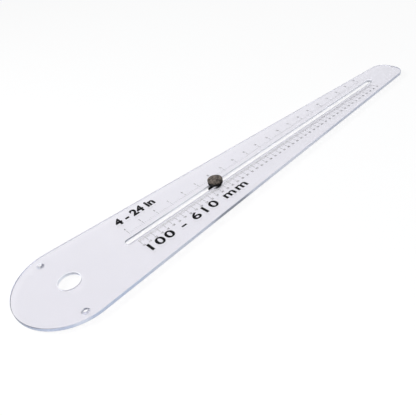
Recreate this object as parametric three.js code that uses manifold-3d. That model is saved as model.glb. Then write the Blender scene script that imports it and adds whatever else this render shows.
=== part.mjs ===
// Router circle cutting jig. A clear tapered beam screws under a router at its round head.
// A pointed pivot slides in the beam's slot, and a knob clamps it at the radius wanted.
// Lengths are millimetres. The arm runs along +X from the cutter hole's axis, and +Z is up.

import * as THREE from 'three';
import { mergeVertices } from 'three/addons/utils/BufferGeometryUtils.js';
import Module from 'manifold-3d';

const wasm = await Module();
wasm.setup();

// Beam
const headRadius = 74;
const endLand = 66; // from the slot's far end to the beam's
const endWidth = 53; // between the straight sides, where they reach the far end
const thickness = 5;
const endCrownRadius = 80;
const endCornerRadius = 22;
const edgeChamfer = 0.4;
const cutterHoleDiameter = 30;

// Screw holes in the head, sunk from below for flat heads
const screwInset = 14; // from the head's rim
const screwBearing = THREE.MathUtils.degToRad(101); // from +X to each side of the arm
const screwHoleDiameter = 5.2;
const screwHeadDiameter = 11;

// Radii that the scale reads at its two ends, and the one that the pivot is set to
const firstMark = 100;
const lastMark = 610;
const setRadius = 248;
const slotRunOut = 16; // from the last mark to the slot's far end
const slotWidth = 10;

// Guide block: a low bar in the bottom of the slot that keeps the pivot square to it
const blockLead = 14; // from the pivot's axis towards the head
const blockTail = 9; // from the pivot's axis towards the far end
const blockThickness = 1.4;
const blockSideClearance = 0.2;
const blockFaceClearance = 0.3; // above the lower washer
const blockChamfer = 0.3;

// Pivot stud: a round foot, a neck with two flats and a threaded shank
const footDiameter = 16;
const footThickness = 1.6;
const neckDiameter = 7;
const neckAcrossFlats = 5.4;
const neckSetback = 0.8; // below the beam's top face
const threadDiameter = 5;
const threadEndGap = 0.5; // under the roof of the knob's bore

// Hardened point, pressed into the stud's foot
const pointDiameter = 3.5;
const pointReach = 4; // below the foot
const pointSeatDepth = 5; // up inside the stud
const pointHalfAngle = THREE.MathUtils.degToRad(30);

// Washers
const lowerWasherDiameter = 18;
const lowerWasherThickness = 0.8;
const upperWasherDiameter = 14;
const upperWasherThickness = 0.8;

// Knob
const knobDiameter = 22;
const capHeight = 6.9; // at its crown
const capCrown = 0.9; // rise of the domed top above its rim
const capChamfer = 1.2;
const collarDiameter = 15;
const collarHeight = 1.2;
const fluteDepth = 0.5;
const fluteCount = 24;
const roofThickness = 1.4;
const insertDiameter = 8;

// Clearances and cut overrun
const slipClearance = 0.15; // at the radius of a piece that slides on another
const pressedClearance = 0.05; // at the radius of a piece that is pressed or moulded in
const overrun = 1;

// Steps in a curve
const roundSteps = 48;
const headSteps = 60;
const cornerSteps = 8;
const crownSteps = 6;
const domeSteps = 5;
const slotEndSteps = 12;
const stepsPerFlute = 6;

// Places along the arm
const slotStart = firstMark - blockLead;
const slotEnd = lastMark + slotRunOut;
const farEnd = slotEnd + endLand;

// Heights, from the beam's underside
const footTop = -lowerWasherThickness;
const footBottom = footTop - footThickness;
const pointTip = footBottom - pointReach;
const pointTop = footBottom + pointSeatDepth;
const neckTop = thickness - neckSetback;
const knobBase = thickness + upperWasherThickness;
const capBase = knobBase + collarHeight;
const knobTop = capBase + capHeight;
const roofUnderside = knobTop - roofThickness;
const threadTop = roofUnderside - threadEndGap;

// Finishes
const clearAcrylic = { color: 0xe3e3ee, roughness: 0.08, metalness: 0, transparent: true, opacity: 0.5 };
const blackPlastic = { color: 0x1b1a1a, roughness: 0.45, metalness: 0 };
const greyFibre = { color: 0x55504c, roughness: 0.8, metalness: 0 };
const turnedSteel = { color: 0xb6b8bb, roughness: 0.3, metalness: 1 };
const hardenedSteel = { color: 0x83868a, roughness: 0.25, metalness: 1 };
const brass = { color: 0xc7a254, roughness: 0.3, metalness: 1 };

function arcPoints(centreX, centreY, radius, from, to, steps) {
  const points = [];
  for (let step = 0; step <= steps; step += 1) {
    const angle = from + ((to - from) * step) / steps;
    const x = centreX + radius * Math.cos(angle);
    const y = centreY + radius * Math.sin(angle);
    points.push(new THREE.Vector2(x, y));
  }
  return points;
}

function circlePoints(centreX, centreY, radius, steps) {
  return arcPoints(centreX, centreY, radius, 0, 2 * Math.PI, steps).slice(0, -1);
}

// A slot or block outline: two half circles, one about each end's centre.
function roundEndedPoints(startX, endX, width) {
  const radius = width / 2;
  const quarter = Math.PI / 2;
  const farHalf = arcPoints(endX - radius, 0, radius, -quarter, quarter, slotEndSteps);
  const nearHalf = arcPoints(startX + radius, 0, radius, quarter, 3 * quarter, slotEndSteps);
  return [...farHalf, ...nearHalf];
}

// A circle with two flats, one to each side of the arm.
function flattedPoints(centreX, radius, acrossFlats) {
  const corner = Math.asin(acrossFlats / 2 / radius);
  const steps = roundSteps / 4;
  const farArc = arcPoints(centreX, 0, radius, -corner, corner, steps);
  const nearArc = arcPoints(centreX, 0, radius, Math.PI - corner, Math.PI + corner, steps);
  return [...farArc, ...nearArc];
}

// Extrudes an outline from bottom to top, with the same chamfer on both faces and every hole.
function slab(outline, holes, bottom, top, chamfer) {
  const shape = new THREE.Shape(outline);
  for (const hole of holes) {
    shape.holes.push(new THREE.Path(hole));
  }
  const geometry = new THREE.ExtrudeGeometry(shape, {
    depth: top - bottom - 2 * chamfer,
    steps: 1,
    bevelEnabled: chamfer > 0,
    bevelThickness: chamfer,
    bevelSize: chamfer,
    bevelOffset: -chamfer,
    bevelSegments: 1,
  });
  geometry.translate(0, 0, bottom + chamfer);
  return geometry;
}

// Revolves a profile of [radius, height] pairs about an upright axis at x.
function turned(profile, x) {
  const points = profile.map(([radius, height]) => new THREE.Vector2(radius, height));
  const geometry = new THREE.LatheGeometry(points, roundSteps);
  geometry.rotateX(Math.PI / 2);
  geometry.translate(x, 0, 0);
  return geometry;
}

function ring(outerRadius, innerRadius, bottom, top, x) {
  const profile = [
    [innerRadius, bottom],
    [outerRadius, bottom],
    [outerRadius, top],
    [innerRadius, top],
    [innerRadius, bottom],
  ];
  return turned(profile, x);
}

function post(radius, bottom, top, x) {
  const profile = [
    [0, bottom],
    [radius, bottom],
    [radius, top],
    [0, top],
  ];
  return turned(profile, x);
}

function toSolid(geometry) {
  const bare = geometry.clone();
  bare.deleteAttribute('normal');
  bare.deleteAttribute('uv');
  const merged = mergeVertices(bare, overrun / 1e5);
  const index = merged.index.array;
  const triangles = [];
  for (let corner = 0; corner < index.length; corner += 3) {
    const [a, b, c] = index.slice(corner, corner + 3);
    if (a !== b && b !== c && c !== a) {
      triangles.push(a, b, c);
    }
  }
  const mesh = new wasm.Mesh({
    numProp: 3,
    vertProperties: new Float32Array(merged.attributes.position.array),
    triVerts: new Uint32Array(triangles),
  });
  return new wasm.Manifold(mesh);
}

function toGeometry(solid) {
  const mesh = solid.getMesh();
  const geometry = new THREE.BufferGeometry();
  const positions = new Float32Array(mesh.vertProperties);
  geometry.setAttribute('position', new THREE.BufferAttribute(positions, 3));
  geometry.setIndex(new THREE.BufferAttribute(new Uint32Array(mesh.triVerts), 1));
  geometry.computeVertexNormals();
  return geometry;
}

function piece(name, solid, finish) {
  const mesh = new THREE.Mesh(toGeometry(solid), new THREE.MeshStandardMaterial(finish));
  mesh.name = name;
  return mesh;
}

// The beam's outline: the round head, two straight sides tangent to it that draw in towards
// the far end, and a crowned end with rounded corners tangent to the sides and the crown.
function beamOutline() {
  const halfEnd = endWidth / 2;
  const taper = Math.asin(headRadius / Math.hypot(farEnd, halfEnd)) - Math.atan2(halfEnd, farEnd);
  const sideBearing = Math.PI / 2 - taper;
  const crownX = farEnd - endCrownRadius;
  const across = headRadius - endCornerRadius;
  const offLine = across - crownX * Math.sin(taper);
  const along = crownX * Math.cos(taper) + Math.sqrt((endCrownRadius - endCornerRadius) ** 2 - offLine ** 2);
  const cornerX = across * Math.sin(taper) + along * Math.cos(taper);
  const cornerY = across * Math.cos(taper) - along * Math.sin(taper);
  const crownBearing = Math.atan2(cornerY, cornerX - crownX);
  const head = arcPoints(0, 0, headRadius, sideBearing, 2 * Math.PI - sideBearing, headSteps);
  const nearCorner = arcPoints(cornerX, -cornerY, endCornerRadius, -sideBearing, -crownBearing, cornerSteps);
  const crown = arcPoints(crownX, 0, endCrownRadius, -crownBearing, crownBearing, crownSteps).slice(1, -1);
  const farCorner = arcPoints(cornerX, cornerY, endCornerRadius, crownBearing, sideBearing, cornerSteps);
  return [...head, ...nearCorner, ...crown, ...farCorner];
}

// One cutter for a screw hole with its cone sunk from the underside at 45 degrees.
function screwHoleCutter(side) {
  const holeRadius = screwHoleDiameter / 2;
  const headHoleRadius = screwHeadDiameter / 2;
  const profile = [
    [0, -overrun],
    [headHoleRadius + overrun, -overrun],
    [holeRadius, headHoleRadius - holeRadius],
    [holeRadius, thickness + overrun],
    [0, thickness + overrun],
  ];
  const cutter = turned(profile, headRadius - screwInset);
  cutter.rotateZ(side * screwBearing);
  return toSolid(cutter);
}

function makeBeam() {
  const cutterHole = circlePoints(0, 0, cutterHoleDiameter / 2, roundSteps);
  const slot = roundEndedPoints(slotStart, slotEnd, slotWidth);
  let solid = toSolid(slab(beamOutline(), [cutterHole, slot], 0, thickness, edgeChamfer));
  for (const side of [-1, 1]) {
    solid = solid.subtract(screwHoleCutter(side));
  }
  return piece('beam', solid, clearAcrylic);
}

function makeGuideBlock() {
  const start = setRadius - blockLead + blockSideClearance;
  const end = setRadius + blockTail - blockSideClearance;
  const outline = roundEndedPoints(start, end, slotWidth - 2 * blockSideClearance);
  const neckHole = flattedPoints(
    setRadius,
    neckDiameter / 2 + slipClearance,
    neckAcrossFlats + 2 * slipClearance,
  );
  const bottom = blockFaceClearance;
  const top = bottom + blockThickness;
  return piece('guide_block', toSolid(slab(outline, [neckHole], bottom, top, blockChamfer)), blackPlastic);
}

function makePivotStud() {
  const foot = toSolid(post(footDiameter / 2, footBottom, footTop, setRadius));
  const neckOutline = flattedPoints(setRadius, neckDiameter / 2, neckAcrossFlats);
  const neck = toSolid(slab(neckOutline, [], footBottom + footThickness / 2, neckTop, 0));
  const shank = toSolid(post(threadDiameter / 2, footBottom + footThickness / 2, threadTop, setRadius));
  const seat = toSolid(post(pointDiameter / 2 + pressedClearance, footBottom - overrun, pointTop, setRadius));
  return piece('pivot_stud', foot.add(neck).add(shank).subtract(seat), turnedSteel);
}

function makePivotPoint() {
  const radius = pointDiameter / 2;
  const coneTop = pointTip + radius / Math.tan(pointHalfAngle);
  const profile = [
    [0, pointTip],
    [radius, coneTop],
    [radius, pointTop],
    [0, pointTop],
  ];
  return piece('pivot_point', toSolid(turned(profile, setRadius)), hardenedSteel);
}

function makeLowerWasher() {
  const bore = neckDiameter / 2 + slipClearance;
  return piece('lower_washer', toSolid(ring(lowerWasherDiameter / 2, bore, footTop, 0, setRadius)), greyFibre);
}

function makeUpperWasher() {
  const bore = threadDiameter / 2 + slipClearance;
  const solid = toSolid(ring(upperWasherDiameter / 2, bore, thickness, knobBase, setRadius));
  return piece('upper_washer', solid, turnedSteel);
}

// The cap's rim: shallow round flutes, all alike.
function fluteOutline() {
  const points = [];
  const steps = fluteCount * stepsPerFlute;
  for (let step = 0; step < steps; step += 1) {
    const angle = (2 * Math.PI * step) / steps;
    const dip = Math.abs(Math.sin((angle * fluteCount) / 2));
    const radius = knobDiameter / 2 - fluteDepth * (1 - dip);
    points.push(new THREE.Vector2(setRadius + radius * Math.cos(angle), radius * Math.sin(angle)));
  }
  return points;
}

// What is cut away above the cap: its top is domed, with a chamfer round the rim.
function domeCutter() {
  const topRadius = knobDiameter / 2 - capChamfer;
  const domeRadius = (topRadius ** 2 + capCrown ** 2) / (2 * capCrown);
  const reach = Math.asin(topRadius / domeRadius);
  const upright = Math.PI / 2;
  const dome = arcPoints(0, knobTop - domeRadius, domeRadius, upright, upright - reach, domeSteps);
  const outside = topRadius + capChamfer + overrun;
  const profile = dome.map((point) => [point.x, point.y]);
  profile.push([outside, knobTop - capCrown - capChamfer - overrun]);
  profile.push([outside, knobTop + overrun]);
  profile.push([0, knobTop + overrun]);
  return toSolid(turned(profile, setRadius));
}

function makeKnobGrip() {
  const fluted = toSolid(slab(fluteOutline(), [], capBase, knobTop, capChamfer));
  const cap = fluted.subtract(domeCutter());
  const collar = toSolid(post(collarDiameter / 2, knobBase, capBase + capHeight / 2, setRadius));
  const bore = insertDiameter / 2 + pressedClearance;
  const cavity = toSolid(post(bore, knobBase - overrun, roofUnderside, setRadius));
  return piece('knob_grip', cap.add(collar).subtract(cavity), blackPlastic);
}

function makeKnobInsert() {
  const bore = threadDiameter / 2 + slipClearance;
  const solid = toSolid(ring(insertDiameter / 2, bore, knobBase, roofUnderside, setRadius));
  return piece('knob_insert', solid, brass);
}

const pivot = new THREE.Group();
pivot.add(makeGuideBlock());
pivot.add(makePivotStud());
pivot.add(makePivotPoint());
pivot.add(makeLowerWasher());
pivot.add(makeUpperWasher());
pivot.add(makeKnobGrip());
pivot.add(makeKnobInsert());

// The origin is below the middle of the beam's length, level with the pivot's tip.
const jig = new THREE.Group();
jig.add(makeBeam());
jig.add(pivot);
jig.position.set((headRadius - farEnd) / 2, 0, -pointTip);

export default jig;
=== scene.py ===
"""The looks of a router circle cutting jig: a clear acrylic beam with printed scales, and a pivot
that a fluted knob clamps in its slot. Lengths are metres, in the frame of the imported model."""

import math

import bmesh
import bpy
from mathutils import Matrix, Vector
from mathutils.geometry import tessellate_polygon


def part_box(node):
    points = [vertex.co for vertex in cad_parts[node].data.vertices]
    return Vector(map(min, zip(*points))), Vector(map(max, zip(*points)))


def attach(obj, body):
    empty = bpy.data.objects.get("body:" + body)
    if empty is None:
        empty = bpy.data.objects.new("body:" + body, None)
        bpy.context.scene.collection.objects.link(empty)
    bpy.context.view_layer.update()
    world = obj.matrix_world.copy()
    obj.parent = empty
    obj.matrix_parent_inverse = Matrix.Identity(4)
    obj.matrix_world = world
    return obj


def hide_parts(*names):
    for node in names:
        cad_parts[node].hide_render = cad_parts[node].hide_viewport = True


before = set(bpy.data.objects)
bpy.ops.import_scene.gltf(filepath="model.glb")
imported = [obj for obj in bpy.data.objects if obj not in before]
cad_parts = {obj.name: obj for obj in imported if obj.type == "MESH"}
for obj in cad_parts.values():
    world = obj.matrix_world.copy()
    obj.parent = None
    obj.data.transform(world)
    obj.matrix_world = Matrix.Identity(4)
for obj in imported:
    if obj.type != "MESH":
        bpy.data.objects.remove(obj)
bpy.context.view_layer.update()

MM = 0.001
same_place = 1e-7  # two points closer than this are one

# The beam, as far as its box says it
beam_low, beam_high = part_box("beam")
underside = beam_low[2]
top_face = beam_high[2]
head_radius = (beam_high[1] - beam_low[1]) / 2
head_x = beam_low[0] + head_radius
far_end = beam_high[0] - head_x

# The rest of the beam's outline, and its openings
end_width = 53 * MM
end_crown_radius = 80 * MM
end_corner_radius = 22 * MM
edge_radius = 0.4 * MM
cutter_hole_radius = 15 * MM
screw_circle_radius = 60 * MM
screw_bearing = math.radians(101)
screw_hole_radius = 2.6 * MM
screw_head_radius = 5.5 * MM
screw_mouth_ease = 0.6 * MM
screw_along = screw_circle_radius * math.cos(screw_bearing)
screw_across = screw_circle_radius * math.sin(screw_bearing)
slot_start = 86 * MM
slot_end = 626 * MM
slot_width = 10 * MM

# The scales: places across the arm from the slot's middle line, and lengths along it
first_millimetre = 100
last_millimetre = 610
numbered_every = 10
first_inch = 4
last_inch = 24
inch = 25.4 * MM
inch_parts = 8
fine_line = 0.14 * MM
inch_fine_line = 0.2 * MM
bold_line = 0.34 * MM
millimetre_ticks_start = 9.2 * MM
inch_ticks_start = 11.8 * MM
number_height = 3.6 * MM
digit_share = 0.69  # of the typeface's size
digit_width = 1.15 * MM
digit_pitch = 1.42 * MM
digit_weight = 0.08 * MM
millimetre_number_line = 23.8 * MM
inch_number_line = 24.2 * MM
inch_number_scale = 1.25
ink_lift = 0.01 * MM
ink_thickness = 0.04 * MM

# The two large plain readings of the scales' ranges
range_height = 14.5 * MM
millimetre_range_weight = 0.55 * MM
inch_range_weight = 0.95 * MM
millimetre_range_start = 101 * MM
millimetre_range_length = 174 * MM
millimetre_range_line = -41 * MM
inch_range_start = 100 * MM
inch_range_length = 66 * MM
inch_range_line = 38.5 * MM
widest_stretch = 1.3

# The pivot
stud_low, stud_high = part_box("pivot_stud")
pivot_x = (stud_low[0] + stud_high[0]) / 2
foot_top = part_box("lower_washer")[0][2]
shank_radius = 2.5 * MM
shank_hole_radius = 2.65 * MM
neck_radius = 3.45 * MM
neck_half_flat = 2.7 * MM
neck_hole_radius = 3.65 * MM
neck_hole_half_flat = 2.85 * MM


class Wire:
    """A socket of a finish's nodes. Arithmetic on it adds Math nodes."""

    def __init__(self, finish, socket):
        self.finish = finish
        self.socket = socket

    def math(self, operation, *values):
        return self.finish.node("ShaderNodeMath", {"operation": operation}, dict(enumerate(values)))

    def output(self, out):
        """Another output of the same node."""
        return Wire(self.finish, self.socket.node.outputs[out])

    def __add__(self, other):
        return self.math("ADD", self, other)

    def __radd__(self, other):
        return self.math("ADD", other, self)

    def __sub__(self, other):
        return self.math("SUBTRACT", self, other)

    def __rsub__(self, other):
        return self.math("SUBTRACT", other, self)

    def __mul__(self, other):
        return self.math("MULTIPLY", self, other)

    def __rmul__(self, other):
        return self.math("MULTIPLY", other, self)

    def __truediv__(self, other):
        return self.math("DIVIDE", self, other)


class Finish:
    """A material and the one method that adds any node to it."""

    def __init__(self, name, shader="ShaderNodeBsdfPrincipled"):
        self.material = bpy.data.materials.new(name)
        self.material.use_nodes = True
        self.tree = self.material.node_tree
        self.tree.nodes.clear()
        output = self.tree.nodes.new("ShaderNodeOutputMaterial")
        self.shader = self.tree.nodes.new(shader)
        self.tree.links.new(self.shader.outputs[0], output.inputs["Surface"])

    def node(self, kind, settings=None, sockets=None, out=0):
        made = self.tree.nodes.new(kind)
        for key, value in (settings or {}).items():
            setattr(made, key, value)
        for key, value in (sockets or {}).items():
            self.connect(made.inputs[key], value)
        return Wire(self, made.outputs[out])

    def connect(self, socket, value):
        if isinstance(value, Wire):
            self.tree.links.new(value.socket, socket)
        else:
            socket.default_value = value

    def set(self, **sockets):
        for key, value in sockets.items():
            name = key.replace("_", " ").title().replace("Ior", "IOR")
            self.connect(self.shader.inputs[name], value)

    def place(self):
        return self.node("ShaderNodeTexCoord", out="Object")

    def parts(self, vector=None):
        """The x, y and z of a vector, or else of the place on the surface."""
        x = self.node("ShaderNodeSeparateXYZ", None, {"Vector": vector or self.place()})
        return x, x.output(1), x.output(2)

    def near_side(self):
        """1 on the jig's near half, which takes in the head's tip, and 0 on the far half."""
        x, y, z = self.parts()
        lean = 0.3  # of the boundary to the far side, for each length behind the head's middle
        blend = 8 * MM
        behind = x.math("MINIMUM", x - head_x, 0)
        return self.spread(y + behind * lean, 1, 0, -blend, blend)

    def noise(self, scale, detail=3):
        sockets = {"Vector": self.place(), "Scale": scale, "Detail": detail}
        return self.node("ShaderNodeTexNoise", None, sockets)

    def spread(self, value, low, high, from_low=0.3, from_high=0.7):
        """Maps from_low to from_high of the value onto low to high. Noise mostly fills 0.3 to 0.7."""
        sockets = {"Value": value, "From Min": from_low, "From Max": from_high}
        return self.node("ShaderNodeMapRange", None, {**sockets, "To Min": low, "To Max": high})

    def blend(self, factor, first, second):
        return self.mix(factor, (*first, 1), (*second, 1))

    def mix(self, factor, first, second):
        """A blend of two colours, which are a Mix node's inputs 6 and 7."""
        sockets = {0: factor, 6: first, 7: second}
        return self.node("ShaderNodeMix", {"data_type": "RGBA"}, sockets, out=2)

    def bump(self, height, distance, strength=1):
        sockets = {"Height": height, "Distance": distance, "Strength": strength}
        return self.node("ShaderNodeBump", None, sockets, out="Normal")


def clear_acrylic():
    """Clear plate with a faint lilac tint, a little darker towards the far end. Painted light makes it
    paler on the far side of the arm."""
    finish = Finish("clear_acrylic")
    x, y, z = finish.parts()
    cloud = finish.spread(finish.noise(9, 4), -0.15, 0.15)
    depth = finish.spread(x + cloud * 0.3, 0, 1, head_x, head_x + far_end)
    tint = finish.blend(depth, (0.808, 0.798, 0.862), (0.752, 0.748, 0.812))
    # Painted light: the far side of the arm is paler, fading in from the head and out towards the far
    # end.
    far_side_painted_light = finish.spread(y, 0.34, 0.45, 0, 20 * MM)
    from_head = finish.spread(x, 0.4, 1, head_x, head_x + 80 * MM)
    to_end = finish.spread(x, 1, 0.45, head_x + 350 * MM, head_x + far_end)
    finish.set(
        base_color=finish.mix(far_side_painted_light * from_head * to_end, tint, (0.885, 0.875, 0.93, 1)),
        roughness=finish.spread(finish.noise(60, 5), 0.01, 0.05),
        transmission_weight=1,
        ior=1.49,
    )
    return finish.material


def satin(finish, colour, glow):
    """Satin acrylic as a router bit leaves it, with a painted glow that stands in for the light the plate
    gathers.
    """
    finish.set(
        base_color=colour,
        roughness=finish.spread(finish.noise(300, 4), 0.2, 0.4),
        normal=finish.bump(finish.noise(1500, 2), 0.01 * MM, 0.3),
        # Painted light: the emission is a glow standing in for the light the plate gathers.
        emission_color=glow,
        emission_strength=1,
    )
    return finish.material


def routed_rim():
    """The outer wall: blue grey and cloudy along its length and bluer about the head. Painted light
    makes it pale behind the head and in two soft bands, painted shade makes it deepest at the head's
    tip and beside the first third of the scale, and its painted glow is stronger on the far side."""
    finish = Finish("routed_rim")
    x, y, z = finish.parts()
    near = finish.near_side()
    cloud = finish.spread(finish.noise(22, 4), 0, 1)
    colour = finish.blend(cloud, (0.42, 0.44, 0.535), (0.53, 0.55, 0.63))
    bluer = finish.spread(x, 0.6, 0, head_x + 50 * MM, head_x + 100 * MM)
    colour = finish.mix(bluer, colour, (0.42, 0.49, 0.66, 1))
    # Soft bands along the wall: two of painted light, by the head and along the far part of the arm, and
    # one of painted shade beside the first third of the scale.
    for middle, half_length, strength, shade in (
        (-22 * MM, 12 * MM, 0.35, (0.84, 0.84, 0.88)),
        (365 * MM, 90 * MM, 0.25, (0.8, 0.8, 0.84)),
        (226 * MM, 42 * MM, 1, (0.2, 0.21, 0.25)),
    ):
        away = (x - (head_x + middle)) / half_length
        colour = finish.mix(finish.spread(away * away, strength, 0, 0.25, 1), colour, (*shade, 1))
    # Painted shade at the head's tip.
    tip = finish.spread(x, 1, 0, head_x - 73 * MM, head_x - 57 * MM)
    tip = tip * finish.spread(y, 1, 0.2, 0, 12 * MM)
    colour = finish.mix(tip, colour, (0.18, 0.21, 0.29, 1))
    # Painted light: paler on the far side behind the head.
    behind = finish.spread(x, 0, 1, head_x - 30 * MM, head_x) * (1 - near)
    colour = finish.mix(behind, colour, (0.78, 0.79, 0.84, 1))
    # Painted glow, stronger on the far side.
    glow = finish.blend(near, (0.22, 0.22, 0.235), (0.03, 0.035, 0.042))
    return satin(finish, colour, glow)


def routed_opening():
    """The slot's wall, with painted light and shade: painted shade along the top and where the slot
    starts, grey at the far end, painted light low down and on the near side, and a painted glow
    strongest low down."""
    finish = Finish("routed_opening")
    x, y, z = finish.parts()
    # Painted light low on the wall, painted shade towards the top.
    low = finish.spread(z, 1, 0, underside + 0.8 * MM, top_face - 1.4 * MM)
    start = head_x + slot_start
    # Painted shade where the slot starts, fading along it.
    away = finish.spread(x, 0, 1, start + 20 * MM, start + 90 * MM)
    high_colour = finish.blend(away, (0.2, 0.22, 0.27), (0.6, 0.615, 0.66))
    colour = finish.mix(low, high_colour, (0.82, 0.82, 0.84, 1))
    # Painted glow, strongest low on the wall.
    glow = finish.blend(low, (0.01, 0.01, 0.012), (0.22, 0.22, 0.225))
    end = head_x + slot_end
    last = finish.spread(x, 0, 1, end - 5 * MM, end - 2 * MM)
    colour = finish.mix(last, colour, (0.45, 0.46, 0.5, 1))
    glow = finish.mix(last, glow, (0.02, 0.02, 0.02, 1))
    # Painted light on the near side.
    near_side = finish.spread(y, 1, 0, -3 * MM, 0) * (1 - last)
    colour = finish.mix(near_side, colour, (0.84, 0.84, 0.87, 1))
    glow = finish.mix(near_side, glow, (0.2, 0.2, 0.21, 1))
    return satin(finish, colour, glow)


def round_opening(name, centre, radius, deep, facing=1, paleness=0.16, deep_start=-0.3, cone=0):
    """The wall of a round hole: pale, with a painted glow whose strength is paleness, and painted shade
    above and towards the far end. The shaded part is on the jig's far side, or on its near side when
    facing is -1. It starts at deep_start radii from the axis, and cone is the share of it that reaches
    the cone at the underside."""
    finish = Finish(name)
    x, y, z = finish.parts()
    level = finish.spread(z, cone, 1, underside, underside + 3 * MM)
    side = finish.spread((x - centre[0]) / radius, 0, 1, deep_start, 0.95)
    across = finish.spread((y - centre[1]) * (facing / radius), 0, 1, -0.5, 0.1)
    pale = finish.blend(across, (0.82, 0.82, 0.86), (0.62, 0.64, 0.69))
    # Painted shade above and towards the far end; elsewhere a pale wall with a painted glow.
    painted_shade_share = side * level * across
    colour = finish.mix(painted_shade_share, pale, (*deep, 1))
    pale_glow = (paleness, paleness, paleness + 0.01)
    glow = finish.blend(painted_shade_share, pale_glow, (0.01, 0.01, 0.015))
    return satin(finish, colour, glow)


def eased_edge():
    """The narrow rounding between the faces and the outer wall: a painted highlight on the far side,
    darker on the near side, painted shade at the head's tip, but on the far side of it only along the
    underside, and a painted glow strongest on the far side and away from the tip."""
    finish = Finish("eased_edge")
    x, y, z = finish.parts()
    near = finish.near_side()
    upper = finish.spread(z, 0, 1, underside + edge_radius, top_face - edge_radius)
    upper_far = upper * finish.spread(y, 0, 0.8, 4 * MM, 22 * MM)
    tip = finish.spread(x, 1, 0, head_x - 66 * MM, head_x - 30 * MM) * (1 - upper_far)
    # Painted highlight on the far side, darker on the near side, and painted shade at the tip.
    colour = finish.blend(near, (0.88, 0.88, 0.92), (0.6, 0.62, 0.7))
    colour = finish.mix(tip, colour, (0.05, 0.05, 0.075, 1))
    # Painted glow, only on the far side away from the tip.
    deepest = near.math("MAXIMUM", near, tip)
    glow = finish.blend(deepest, (0.28, 0.28, 0.29), (0.02, 0.02, 0.025))
    finish.set(specular_ior_level=0.1)
    return satin(finish, colour, glow)


def eased_opening_edge():
    """The same rounding about the slot and the cutter hole, where a painted highlight keeps it pale all
    round, with a painted glow.
    """
    finish = Finish("eased_opening_edge")
    cloud = finish.spread(finish.noise(200, 3), 0, 1)
    colour = finish.blend(cloud, (0.76, 0.76, 0.8), (0.82, 0.82, 0.86))
    # Painted glow.
    return satin(finish, colour, (0.2, 0.2, 0.205, 1))


def black_ink():
    finish = Finish("black_ink")
    wear = finish.spread(finish.noise(900, 4), 0, 1, 0.35, 0.75)
    finish.set(
        base_color=finish.blend(wear, (0.003, 0.003, 0.004), (0.012, 0.011, 0.013)),
        roughness=finish.spread(wear, 0.6, 0.8),
        specular_ior_level=0.06,
    )
    return finish.material


def black_plastic(name, worn_and_lit, worn_and_lit_from, worn_and_lit_to):
    """Moulded black plastic, mottled, and paler from one height to the next, starting a little lower on
    the near side: partly handling wear and partly painted light on the top and the near side.
    """
    finish = Finish(name)
    x, y, z = finish.parts()
    # Paler towards the top and the near side: handling wear and painted light.
    wear_and_painted_light = finish.spread(z - y * 0.1, 0, 1, worn_and_lit_from, worn_and_lit_to)
    mottle = finish.spread(finish.noise(360, 6) * 0.6 + finish.noise(170, 2) * 0.4, 0, 1, 0.41, 0.59)
    wear = finish.spread(finish.noise(900, 3), 0, 0.04) + wear_and_painted_light * (0.08 + mottle * 0.8)
    finish.set(
        base_color=finish.blend(wear, (0.004, 0.004, 0.005), worn_and_lit),
        roughness=finish.spread(mottle, 0.34, 0.6, 0, 1),
        normal=finish.bump(finish.noise(2600, 3), 0.03 * MM, 0.5),
        specular_ior_level=0.1,
    )
    return finish.material


def turned_rings(finish, spacing):
    """Fine rings about the pivot's axis, as a lathe leaves them."""
    centred = finish.node(
        "ShaderNodeVectorMath", {"operation": "SUBTRACT"}, {0: finish.place(), 1: (pivot_x, 0, 0)}
    )
    x, y, z = finish.parts(centred)
    squares = x * x + y * y
    radius = squares.math("SQRT", squares)
    turns = radius * (2 * math.pi / spacing)
    return turns.math("SINE", turns)


def turned_metal(name, dark, pale, roughness, stain_scale=500, ring_spacing=0.25, ring_depth=0.01):
    """A metal turned on a lathe, with a faint stain that varies its shade from dark to pale and its
    roughness over a pair of values. The rings' spacing and depth are millimetres."""
    finish = Finish(name)
    stain = finish.noise(stain_scale, 4)
    finish.set(
        base_color=finish.blend(finish.spread(stain, 0, 1), dark, pale),
        roughness=finish.spread(stain, *roughness),
        metallic=1,
        normal=finish.bump(turned_rings(finish, ring_spacing * MM), ring_depth * MM, 0.5),
    )
    return finish.material


def grey_fibre():
    finish = Finish("grey_fibre")
    fleck = finish.noise(1800, 5)
    finish.set(
        base_color=finish.blend(finish.spread(fleck, 0, 1), (0.26, 0.26, 0.265), (0.38, 0.375, 0.37)),
        roughness=0.8,
        normal=finish.bump(fleck, 0.04 * MM, 0.7),
    )
    return finish.material


def arc(centre_x, centre_y, radius, start, end, steps):
    points = []
    for step in range(steps + 1):
        angle = start + (end - start) * step / steps
        points.append(Vector((centre_x + radius * math.cos(angle), centre_y + radius * math.sin(angle))))
    return points


def circle(centre_x, centre_y, radius, steps):
    return arc(centre_x, centre_y, radius, 0, 2 * math.pi, steps)[:-1]


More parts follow.
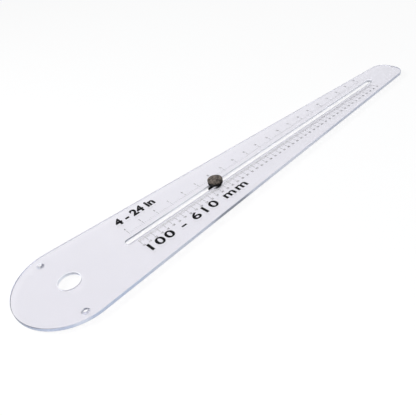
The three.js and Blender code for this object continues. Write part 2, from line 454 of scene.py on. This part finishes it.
def beam_outline(inset):
    """The outline drawn in by inset: the head, two tangent sides and a crowned end with round corners."""
    half_end = end_width / 2
    taper = math.asin(head_radius / math.hypot(far_end, half_end)) - math.atan2(half_end, far_end)
    side = math.pi / 2 - taper
    crown_x = far_end - end_crown_radius
    across = head_radius - end_corner_radius
    off_line = across - crown_x * math.sin(taper)
    reach = math.sqrt((end_crown_radius - end_corner_radius) ** 2 - off_line**2)
    along = crown_x * math.cos(taper) + reach
    corner_x = across * math.sin(taper) + along * math.cos(taper)
    corner_y = across * math.cos(taper) - along * math.sin(taper)
    crown = math.atan2(corner_y, corner_x - crown_x)
    corner = end_corner_radius - inset
    head_steps, corner_steps, crown_steps = 180, 20, 24
    points = arc(0, 0, head_radius - inset, side, 2 * math.pi - side, head_steps)
    points += arc(corner_x, -corner_y, corner, -side, -crown, corner_steps)
    points += arc(crown_x, 0, end_crown_radius - inset, -crown, crown, crown_steps)[1:-1]
    points += arc(corner_x, corner_y, corner, crown, side, corner_steps)
    return points


def slot_outline(outset):
    radius = slot_width / 2 + outset
    near = slot_start + slot_width / 2
    far = slot_end - slot_width / 2
    quarter = math.pi / 2
    points = arc(far, 0, radius, -quarter, quarter, steps=36)
    return points + arc(near, 0, radius, quarter, 3 * quarter, steps=36)


def edge_levels(radius, bottom, top):
    """(inset, height) pairs down a wall whose two edges are rounded by the radius."""
    steps = 4
    upper = []
    for step in range(steps + 1):
        angle = math.pi / 2 * step / steps
        upper.append((radius * (1 - math.sin(angle)), top - radius * (1 - math.cos(angle))))
    return upper + [(inset, bottom + top - height) for inset, height in reversed(upper)]


def screw_levels():
    """(radius, height) pairs down a screw hole, with its cone at the underside."""
    cone_top = underside + screw_head_radius - screw_hole_radius
    return [
        (screw_hole_radius + screw_mouth_ease, top_face),
        (screw_hole_radius, top_face - screw_mouth_ease),
        (screw_hole_radius, cone_top),
        (screw_head_radius, underside),
    ]


def beam_walls():
    """One list of loops, from top to bottom, for the outline and for each opening."""

    def wall(levels, outline):
        return [[(point, height) for point in outline(reach)] for reach, height in levels]

    levels = edge_levels(edge_radius, underside, top_face)
    walls = [wall(levels, beam_outline), wall(levels, slot_outline)]
    walls.append(wall(levels, lambda inset: circle(0, 0, cutter_hole_radius + inset, steps=128)))
    for y in (-screw_across, screw_across):
        walls.append(wall(screw_levels(), lambda radius: circle(screw_along, y, radius, steps=64)))
    return walls


def add_wall(built, loops, outward, flat_finish=0, edge_finish=0):
    """Quads between loops from the top down. The tall bands are flat, and the low ones are edges."""
    for upper, lower in zip(loops, loops[1:]):
        flat = upper[0].co.z - lower[0].co.z > edge_radius
        for here in range(len(upper)):
            after = (here + 1) % len(upper)
            quad = [upper[here], lower[here], lower[after], upper[after]]
            if not outward:
                quad.reverse()
            face = built.faces.new(quad)
            face.smooth = True
            face.material_index = flat_finish if flat else edge_finish


def add_end_faces(built, walls):
    """The flat top and bottom faces, each filled between the ends of the walls."""
    for end, up in ((0, True), (-1, False)):
        loops = [wall[end] for wall in walls]
        corners = [vert for loop in loops for vert in loop]
        for triangle in tessellate_polygon([[vert.co for vert in loop] for loop in loops]):
            face = built.faces.new([corners[index] for index in triangle])
            face.normal_update()
            if (face.normal.z > 0) != up:
                face.normal_flip()


def finished(name, built, finishes, sharp=math.radians(35)):
    """Turns a bmesh into an object at the origin, with edges sharper than the limit kept crisp."""
    for edge in built.edges:
        if len(edge.link_faces) == 2 and edge.calc_face_angle(0) > sharp:
            edge.smooth = False
    mesh = bpy.data.meshes.new(name)
    built.to_mesh(mesh)
    built.free()
    for finish in finishes:
        mesh.materials.append(finish)
    piece = bpy.data.objects.new(name, mesh)
    bpy.context.scene.collection.objects.link(piece)
    return piece


def make_beam(face_finish, wall_finishes, outer_edge, opening_edge):
    """The plate. Its wall finishes go to the outline, the cutter hole and both screw holes,
    and its edge finishes to the rounded edges of all but the screw holes."""
    built = bmesh.new()
    finishes = [face_finish, *wall_finishes, outer_edge, opening_edge]
    walls = []
    for number, wall in enumerate(beam_walls()):
        loops = []
        for loop in wall:
            loops.append([built.verts.new((head_x + point.x, point.y, height)) for point, height in loop])
        outline = number == 0
        screw_hole = number > 2
        flat = number + 1
        edge = flat if screw_hole else finishes.index(outer_edge if outline else opening_edge)
        add_wall(built, loops, outline, flat, edge)
        walls.append(loops)
    add_end_faces(built, walls)
    piece = finished("clear_beam", built, finishes)
    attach(piece, "beam")
    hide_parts("beam")


def rounded(profile, radius, steps=4):
    """Rounds the inner corners of an open profile of (radius, height) pairs, all by one radius."""
    points = [Vector(profile[0])]
    for before, corner, after in zip(profile, profile[1:], profile[2:]):
        corner = Vector(corner)
        back = (Vector(before) - corner).normalized()
        ahead = (Vector(after) - corner).normalized()
        half = back.angle(ahead) / 2
        set_back = radius / math.tan(half)
        start = corner + back * set_back
        end = corner + ahead * set_back
        for step in range(steps + 1):
            share = step / steps
            first = start.lerp(corner, share)
            second = corner.lerp(end, share)
            points.append(first.lerp(second, share))
    points.append(Vector(profile[-1]))
    return points


def revolve(built, points, reach=None, steps=128):
    """Revolves (radius, height) points about the pivot's axis. reach changes a radius by its angle."""
    rings = []
    for radius, height in points:
        if radius < same_place:
            rings.append([built.verts.new((pivot_x, 0, height))])
            continue
        ring = []
        for step in range(steps):
            angle = 2 * math.pi * step / steps
            length = reach(radius, height, angle) if reach else radius
            x = pivot_x + length * math.cos(angle)
            ring.append(built.verts.new((x, length * math.sin(angle), height)))
        rings.append(ring)
    for lower, upper in zip(rings, rings[1:]):
        for step in range(steps):
            after = (step + 1) % steps
            corners = [lower[step % len(lower)], lower[after % len(lower)]]
            corners += [upper[after % len(upper)], upper[step % len(upper)]]
            unique = list(dict.fromkeys(corners))
            built.faces.new(unique).smooth = True
    return rings


def close_ring(built, rings):
    """Joins a ring-shaped revolve's last ring back to its first."""
    first, last = rings[0], rings[-1]
    count = len(first)
    for step in range(count):
        after = (step + 1) % count
        built.faces.new([last[step], last[after], first[after], first[step]]).smooth = True


def make_washer(name, node, bore, edge, body, finish):
    low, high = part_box(node)
    radius = (high[0] - low[0]) / 2
    corners = [(bore, low[2]), (radius, low[2]), (radius, high[2]), (bore, high[2])]
    middle = (low[2] + high[2]) / 2
    profile = [(bore, middle), *corners, (bore, middle)]
    built = bmesh.new()
    rings = revolve(built, rounded(profile, edge, steps=3)[:-1])
    close_ring(built, rings)
    piece = finished(name, built, [finish])
    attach(piece, body)
    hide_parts(node)


def flatted(radius, height, angle):
    """Keeps the neck's two flats, which face the slot's walls. Nothing else above the foot reaches
    as far as the flats."""
    clear_of_foot = foot_top + 0.05 * MM
    across = abs(math.sin(angle))
    if height > clear_of_foot and radius * across > neck_half_flat:
        return neck_half_flat / across
    return radius


def make_stud(finish):
    """The round foot with a rounded rim. Above it, the neck and shank hide in the block and knob."""
    low, high = stud_low[2], stud_high[2]
    foot_radius = (stud_high[0] - stud_low[0]) / 2
    neck_top = top_face - 0.8 * MM
    seat_radius = 1.8 * MM
    seat_top = low + 1.2 * MM
    edge = 0.22 * MM
    profile = [
        (seat_radius, seat_top),
        (seat_radius, low),
        (foot_radius, low),
        (foot_radius, foot_top),
        (neck_radius, foot_top),
        (neck_radius, neck_top),
        (shank_radius, neck_top),
        (shank_radius, high),
        (0, high),
    ]
    built = bmesh.new()
    revolve(built, [Vector((0, seat_top))] + rounded(profile, edge), flatted)
    piece = finished("pivot_stud_turned", built, [finish])
    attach(piece, "pivot")
    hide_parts("pivot_stud")


def make_point(finish):
    low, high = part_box("pivot_point")
    radius = (high[0] - low[0]) / 2
    half_angle = math.radians(30)
    cone_top = low[2] + radius / math.tan(half_angle)
    tip_radius = 0.12 * MM
    tip_height = 0.02 * MM
    edge = 0.05 * MM
    profile = [
        (0, low[2]),
        (tip_radius, low[2] + tip_height),
        (radius, cone_top),
        (radius, high[2]),
        (0, high[2]),
    ]
    built = bmesh.new()
    revolve(built, rounded(profile, edge, steps=3), steps=96)
    piece = finished("pivot_point_ground", built, [finish])
    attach(piece, "pivot")
    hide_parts("pivot_point")


def make_block(finish):
    """The guide block: a round-ended bar with rounded edges and the flatted hole for the neck."""
    low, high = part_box("guide_block")
    half_width = (high[1] - low[1]) / 2
    edge = 0.35 * MM
    quarter = math.pi / 2
    outer, hole = [], []
    for inset, height in edge_levels(edge, low[2], high[2]):
        radius = half_width - inset
        ends = arc(high[0] - half_width, 0, radius, -quarter, quarter, steps=32)
        ends += arc(low[0] + half_width, 0, radius, quarter, 3 * quarter, steps=32)
        outer.append([(point.x, point.y, height) for point in ends])
        radius = neck_hole_radius + inset
        corner = math.asin((neck_hole_half_flat + inset) / radius)
        sides = arc(pivot_x, 0, radius, -corner, corner, steps=16)
        sides += arc(pivot_x, 0, radius, math.pi - corner, math.pi + corner, steps=16)
        hole.append([(point.x, point.y, height) for point in sides])
    built = bmesh.new()
    walls = []
    for wall, outward in ((outer, True), (hole, False)):
        loops = [[built.verts.new(place) for place in loop] for loop in wall]
        add_wall(built, loops, outward)
        walls.append(loops)
    add_end_faces(built, walls)
    piece = finished("guide_block_moulded", built, [finish])
    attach(piece, "carriage")
    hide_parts("guide_block")


def make_knob(finish):
    """The knob: a fluted cap with a domed top and rounded rims, on a plain collar."""
    low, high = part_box("knob_grip")
    cap_radius = 11 * MM
    crown = 0.9 * MM
    rim = 1.2 * MM
    lower_rim = 0.5 * MM
    fine_edge = 0.08 * MM
    cap_base = low[2] + 0.2 * MM
    collar_radius = 7.5 * MM
    insert_radius = 4.05 * MM
    bore_top = low[2] + 3 * MM
    flutes = 24
    flute_depth = 0.6 * MM
    flute_start = cap_radius - 2.4 * MM
    flute_ease = 2 * MM
    lower_steps, rim_steps, dome_steps = 6, 8, 12
    top_radius = cap_radius - rim
    dome_radius = (top_radius**2 + crown**2) / (2 * crown)
    points = [Vector((0, bore_top))]
    under = [(insert_radius, bore_top), (insert_radius, low[2]), (collar_radius, low[2])]
    under += [(collar_radius, cap_base), (cap_radius - lower_rim, cap_base)]
    points += rounded(under, fine_edge, steps=3)
    for step in range(1, lower_steps + 1):
        angle = math.pi / 2 * step / lower_steps
        along = cap_radius - lower_rim * (1 - math.sin(angle))
        points.append(Vector((along, cap_base + lower_rim * (1 - math.cos(angle)))))
    for step in range(rim_steps + 1):
        angle = math.pi / 2 * step / rim_steps
        along = cap_radius - rim * (1 - math.cos(angle))
        points.append(Vector((along, high[2] - crown - rim * (1 - math.sin(angle)))))
    for step in range(1, dome_steps + 1):
        along = top_radius * (1 - step / dome_steps)
        points.append(Vector((along, high[2] - dome_radius + math.sqrt(dome_radius**2 - along**2))))

    def fluted(radius, height, angle):
        edge = min(1, max(0, (radius - flute_start) / flute_ease))
        ease = edge * edge * (3 - 2 * edge)
        dip = 1 - abs(math.sin(angle * flutes / 2))
        return radius - flute_depth * dip * ease

    built = bmesh.new()
    revolve(built, points, fluted, steps=flutes * 16)
    piece = finished("knob_grip_moulded", built, [finish], math.radians(50))
    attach(piece, "knob")
    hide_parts("knob_grip")


def tick_tree():
    """A geometry tree that lays ticks along the arm: short, and longer at each group and half group."""
    tree = bpy.data.node_groups.new("scale_ticks", "GeometryNodeTree")
    lengths = ("Start", "Spacing", "Inner", "Direction", "Short", "Middle", "Long")
    lengths += ("Fine Line", "Bold Line", "Height", "Thickness")
    inputs = dict.fromkeys(("Count", "Group", "Half Group"), "NodeSocketInt")
    inputs.update(dict.fromkeys(lengths, "NodeSocketFloat"))
    inputs["Ink"] = "NodeSocketMaterial"
    tree.interface.new_socket("Geometry", in_out="OUTPUT", socket_type="NodeSocketGeometry")
    for name, kind in inputs.items():
        tree.interface.new_socket(name, in_out="INPUT", socket_type=kind)
    given = tree.nodes.new("NodeGroupInput").outputs

    def node(kind, settings=None, sockets=None):
        made = tree.nodes.new(kind)
        for key, value in (settings or {}).items():
            setattr(made, key, value)
        for key, value in (sockets or {}).items():
            if hasattr(value, "is_output"):
                tree.links.new(value, made.inputs[key])
            else:
                made.inputs[key].default_value = value
        return made.outputs[0]

    def combine(x, y, z):
        return node("ShaderNodeCombineXYZ", None, {0: x, 1: y, 2: z})

    def math_node(operation, *values):
        return node("ShaderNodeMath", {"operation": operation}, dict(enumerate(values)))

    def repeats(every):
        left = math_node("MODULO", node("GeometryNodeInputIndex"), every)
        return math_node("LESS_THAN", left, 0.5)

    start = combine(given["Start"], given["Inner"], given["Height"])
    step = combine(given["Spacing"], 0.0, 0.0)
    line = {"Count": given["Count"], "Start Location": start, "Offset": step}
    row = node("GeometryNodeMeshLine", None, line)
    bar = node("GeometryNodeMeshCube", None, {"Size": (1.0, 1.0, 1.0)})
    raised = {"Geometry": bar, "Translation": (0.0, 0.5, 0.5)}
    shifted = node("GeometryNodeTransform", None, raised)
    longer = math_node("SUBTRACT", given["Middle"], given["Short"])
    longest = math_node("SUBTRACT", given["Long"], given["Middle"])
    half = math_node("MULTIPLY", repeats(given["Half Group"]), longer)
    whole = math_node("MULTIPLY", repeats(given["Group"]), longest)
    length = math_node("ADD", given["Short"], math_node("ADD", half, whole))
    signed = math_node("MULTIPLY", length, given["Direction"])
    bolder = math_node("SUBTRACT", given["Bold Line"], given["Fine Line"])
    extra = math_node("MULTIPLY", repeats(given["Group"]), bolder)
    wide = math_node("ADD", given["Fine Line"], extra)
    size = combine(wide, signed, given["Thickness"])
    ticks = {"Points": row, "Instance": shifted, "Scale": size}
    laid = node("GeometryNodeInstanceOnPoints", None, ticks)
    real = node("GeometryNodeRealizeInstances", None, {"Geometry": laid})
    inked = node("GeometryNodeSetMaterial", None, {"Geometry": real, "Material": given["Ink"]})
    tree.links.new(inked, tree.nodes.new("NodeGroupOutput").inputs["Geometry"])
    return tree


def make_ticks(name, tree, values):
    """Runs the tree on an empty mesh and keeps the result as a plain mesh."""
    carrier = bpy.data.objects.new(name + "_carrier", bpy.data.meshes.new(name + "_carrier"))
    bpy.context.scene.collection.objects.link(carrier)
    modifier = carrier.modifiers.new("ticks", "NODES")
    modifier.node_group = tree
    for item in tree.interface.items_tree:
        if item.in_out == "INPUT":
            modifier[item.identifier] = values[item.name]
    shown = carrier.evaluated_get(bpy.context.evaluated_depsgraph_get())
    mesh = bpy.data.meshes.new_from_object(shown)
    carrier.modifiers.clear()
    bpy.data.objects.remove(carrier)
    built = bmesh.new()
    built.from_mesh(mesh)
    bmesh.ops.recalc_face_normals(built, faces=built.faces)
    built.to_mesh(mesh)
    built.free()
    mesh.name = name
    piece = bpy.data.objects.new(name, mesh)
    bpy.context.scene.collection.objects.link(piece)
    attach(piece, "beam")


def make_scales(ink):
    tree = tick_tree()
    shared = {
        "Fine Line": fine_line,
        "Bold Line": bold_line,
        "Height": top_face + ink_lift,
        "Thickness": ink_thickness,
        "Ink": ink,
    }
    millimetres = {
        "Count": last_millimetre - first_millimetre + 1,
        "Group": numbered_every,
        "Half Group": numbered_every // 2,
        "Start": head_x + first_millimetre * MM,
        "Spacing": MM,
        "Inner": -millimetre_ticks_start,
        "Direction": -1.0,
        "Short": 5.2 * MM,
        "Middle": 6.4 * MM,
        "Long": 10.9 * MM,
    }
    inches = {
        "Count": (last_inch - first_inch) * inch_parts + 1,
        "Group": inch_parts,
        "Half Group": inch_parts // 2,
        "Start": head_x + first_inch * inch,
        "Spacing": inch / inch_parts,
        "Fine Line": inch_fine_line,
        "Inner": inch_ticks_start,
        "Direction": 1.0,
        "Short": 3.4 * MM,
        "Middle": 4.6 * MM,
        "Long": 8.0 * MM,
    }
    make_ticks("millimetre_ticks", tree, {**shared, **millimetres})
    make_ticks("inch_ticks", tree, {**shared, **inches})


def reading_mesh(text, height, weight, resolution, spacing=1):
    """A flat text as a thin closed mesh, its digits height tall and standing on zero."""
    curve = bpy.data.curves.new("reading", "FONT")
    curve.body = text
    curve.size = height / digit_share
    curve.offset = weight
    curve.space_character = spacing
    curve.resolution_u = resolution
    curve.extrude = ink_thickness / 2
    holder = bpy.data.objects.new("reading", curve)
    bpy.context.scene.collection.objects.link(holder)
    shown = holder.evaluated_get(bpy.context.evaluated_depsgraph_get())
    mesh = bpy.data.meshes.new_from_object(shown)
    bpy.data.objects.remove(holder)
    bpy.data.curves.remove(curve)
    return mesh


def span(mesh):
    along = [vert.co.x for vert in mesh.vertices]
    return min(along), max(along)


def finish_print(name, built, ink):
    bmesh.ops.remove_doubles(built, verts=built.verts, dist=same_place)
    piece = finished(name, built, [ink])
    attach(piece, "beam")


def make_numbers(ink):
    """The scales' small numbers, put together from ten narrow digits that are each made once."""
    digits = []
    for digit in range(10):
        digits.append(reading_mesh(str(digit), number_height, digit_weight, resolution=2))
    widest = max(high - low for low, high in map(span, digits))
    for glyph in digits:
        low, high = span(glyph)
        glyph.transform(Matrix.Translation((-(low + high) / 2, -number_height / 2, 0)))
        glyph.transform(Matrix.Diagonal((digit_width / widest, 1, 1, 1)))
    level = top_face + ink_lift + ink_thickness / 2
    places = []
    for value in range(first_millimetre, last_millimetre + 1, numbered_every):
        places.append((value, head_x + value * MM, -millimetre_number_line, 1))
    for value in range(first_inch, last_inch + 1):
        places.append((value, head_x + value * inch, inch_number_line, inch_number_scale))
    built = bmesh.new()
    for value, x, y, scale in places:
        text = str(value)
        for position, digit in enumerate(text):
            along = x + (position - (len(text) - 1) / 2) * digit_pitch * scale
            glyph = digits[int(digit)].copy()
            glyph.transform(Matrix.Diagonal((scale, scale, 1, 1)))
            glyph.transform(Matrix.Translation((along, y, level)))
            built.from_mesh(glyph)
            bpy.data.meshes.remove(glyph)
    finish_print("scale_numbers", built, ink)


def reading_length(text, weight, spacing):
    """How long a large reading comes out at a letter spacing."""
    mesh = reading_mesh(text, range_height, weight, resolution=1, spacing=spacing)
    low, high = span(mesh)
    bpy.data.meshes.remove(mesh)
    return high - low


def make_ranges(ink):
    """The two large readings of the scales' ranges, each spaced out to fill its place."""
    level = top_face + ink_lift + ink_thickness / 2
    millimetres = (
        f"{first_millimetre} - {last_millimetre} mm",
        millimetre_range_weight,
        millimetre_range_start,
        millimetre_range_length,
        millimetre_range_line,
    )
    inches = (
        f"{first_inch} - {last_inch} in",
        inch_range_weight,
        inch_range_start,
        inch_range_length,
        inch_range_line,
    )
    built = bmesh.new()
    for text, weight, start, length, line in (millimetres, inches):
        single = reading_length(text, weight, 1)
        double = reading_length(text, weight, 2)
        stretch = min(length / single, widest_stretch)
        spacing = 1 + (length / stretch - single) / (double - single)
        mesh = reading_mesh(text, range_height, weight, resolution=5, spacing=spacing)
        mesh.transform(Matrix.Diagonal((stretch, 1, 1, 1)))
        mesh.transform(Matrix.Translation((head_x + start - span(mesh)[0], line, level)))
        built.from_mesh(mesh)
        bpy.data.meshes.remove(mesh)
    finish_print("scale_ranges", built, ink)


def make_floor():
    """A plain pale floor that looks white, and still takes the jig's soft shadow."""
    half = 4.0
    plain_white = 0.85  # the share of the seen floor that glows, and the rest is matte
    mesh = bpy.data.meshes.new("floor")
    corners = [(-half, -half, 0), (half, -half, 0), (half, half, 0), (-half, half, 0)]
    mesh.from_pydata(corners, [], [(0, 1, 2, 3)])
    finish = Finish("pale_floor", "ShaderNodeMixShader")
    camera = finish.node("ShaderNodeLightPath", out="Is Camera Ray")
    glossy = camera.output("Is Glossy Ray")
    through = camera.output("Is Transmission Ray")
    seen = camera.math("MAXIMUM", camera, glossy.math("MAXIMUM", glossy, through))
    matte = finish.node("ShaderNodeBsdfDiffuse", None, {"Color": (0.9, 0.9, 0.9, 1)})
    glow = finish.node("ShaderNodeEmission", None, {"Color": (1, 1, 1, 1), "Strength": 1.0})
    finish.connect(finish.shader.inputs[0], seen * plain_white)
    finish.connect(finish.shader.inputs[1], matte)
    finish.connect(finish.shader.inputs[2], glow)
    mesh.materials.append(finish.material)
    floor = bpy.data.objects.new("floor", mesh)
    bpy.context.scene.collection.objects.link(floor)


def make_world():
    """A bright plain studio: even light on the jig, and white where it is seen or mirrored."""
    world = bpy.data.worlds.new("studio")
    world.use_nodes = True
    tree = world.node_tree
    tree.nodes.clear()
    output = tree.nodes.new("ShaderNodeOutputWorld")
    light = tree.nodes.new("ShaderNodeBackground")
    seen = tree.nodes.new("ShaderNodeBackground")
    light.inputs["Color"].default_value = (0.95, 0.97, 1.0, 1)
    light.inputs["Strength"].default_value = 0.5
    seen.inputs["Color"].default_value = (1, 1, 1, 1)
    paths = tree.nodes.new("ShaderNodeLightPath").outputs
    either = paths["Is Camera Ray"]
    for name in ("Is Glossy Ray", "Is Transmission Ray"):
        larger = tree.nodes.new("ShaderNodeMath")
        larger.operation = "MAXIMUM"
        tree.links.new(either, larger.inputs[0])
        tree.links.new(paths[name], larger.inputs[1])
        either = larger.outputs[0]
    mix = tree.nodes.new("ShaderNodeMixShader")
    tree.links.new(either, mix.inputs[0])
    tree.links.new(light.outputs[0], mix.inputs[1])
    tree.links.new(seen.outputs[0], mix.inputs[2])
    tree.links.new(mix.outputs[0], output.inputs["Surface"])
    bpy.context.scene.world = world


def add_lamp(name, place, size, power):
    """A round lamp that points at the middle of the jig."""
    data = bpy.data.lights.new(name, "AREA")
    data.shape = "DISK"
    data.size = size
    data.energy = power
    lamp = bpy.data.objects.new(name, data)
    lamp.location = place
    lamp.rotation_euler = (-Vector(place)).to_track_quat("-Z", "Y").to_euler()
    bpy.context.scene.collection.objects.link(lamp)


def make_camera():
    """The photograph's camera: 416 pixels square, looking down at the jig from beside its head."""
    sensor = 36  # millimetres, as the lens is
    frame_pixels = 416
    focal_pixels = 519.77
    azimuth = -0.59944
    elevation = 0.64506
    roll = -0.21366
    distance = 708.77 * MM
    target = Vector((head_x + 202.11 * MM, -34.68 * MM, top_face))
    flat = math.cos(elevation)
    back = Vector((math.sin(azimuth) * flat, -math.cos(azimuth) * flat, math.sin(elevation)))
    level = (-back).cross(Vector((0, 0, 1))).normalized()
    rise = level.cross(-back)
    right = level * math.cos(roll) + rise * math.sin(roll)
    up = rise * math.cos(roll) - level * math.sin(roll)
    data = bpy.data.cameras.new("camera")
    data.sensor_fit = "HORIZONTAL"
    data.sensor_width = sensor
    data.lens = sensor * focal_pixels / frame_pixels
    data.clip_start = 0.01
    data.clip_end = 50
    camera = bpy.data.objects.new("camera", data)
    turn = Matrix((right, up, back)).transposed().to_4x4()
    camera.matrix_world = Matrix.Translation(target + back * distance) @ turn
    bpy.context.scene.collection.objects.link(camera)
    bpy.context.scene.camera = camera


make_camera()
make_floor()
make_world()
add_lamp("key", (-1.2, 0.6, 1.3), size=0.9, power=22)
add_lamp("fill", (-0.4, -0.9, 1.4), size=1.2, power=9)

ink = black_ink()
steel = turned_metal("turned_steel", (0.52, 0.53, 0.54), (0.66, 0.67, 0.67), (0.22, 0.38))
hardened = turned_metal(
    "hardened_steel",
    (0.22, 0.23, 0.25),
    (0.36, 0.36, 0.37),
    (0.18, 0.32),
    stain_scale=900,
    ring_spacing=0.15,
    ring_depth=0.008,
)
brass = turned_metal("turned_brass", (0.5, 0.33, 0.1), (0.68, 0.48, 0.18), (0.22, 0.4))
fibre = grey_fibre()
block_plastic = black_plastic("black_plastic", (0.03, 0.03, 0.03), underside, top_face)
# The knob's paler top is handling wear and painted light.
knob_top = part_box("knob_grip")[1][2]
knob_plastic = black_plastic(
    "worn_and_lit_black_plastic",
    (0.18, 0.15, 0.128),
    worn_and_lit_from=knob_top - 3.6 * MM,
    worn_and_lit_to=knob_top - 2.1 * MM,
)

near_screw = (head_x + screw_along, -screw_across)
far_screw = (head_x + screw_along, screw_across)
walls = [
    routed_rim(),
    routed_opening(),
    round_opening("cutter_hole_wall", (head_x, 0), cutter_hole_radius, (0.3, 0.31, 0.37)),
    round_opening(
        "near_screw_hole",
        near_screw,
        screw_hole_radius,
        (0.16, 0.17, 0.22),
        deep_start=-2.5,
        cone=0.8,
    ),
    round_opening(
        "far_screw_hole",
        far_screw,
        screw_hole_radius,
        (0.16, 0.17, 0.23),
        facing=-1,
        paleness=0.2,
        deep_start=-1.6,
        cone=0.35,
    ),
]
make_beam(clear_acrylic(), walls, eased_edge(), eased_opening_edge())
make_scales(ink)
make_numbers(ink)
make_ranges(ink)
make_block(block_plastic)
make_knob(knob_plastic)
make_stud(steel)
make_point(hardened)
washer_edge = 0.15 * MM
insert_edge = 0.2 * MM
make_washer(
    "upper_washer_pressed", "upper_washer", shank_hole_radius, washer_edge, "carriage", steel
)
make_washer(
    "lower_washer_pressed", "lower_washer", neck_hole_radius, washer_edge, "pivot", fibre
)
make_washer("knob_insert_turned", "knob_insert", shank_hole_radius, insert_edge, "knob", brass)

bpy.context.scene.view_settings.view_transform = "Standard"
bpy.context.view_layer.update()
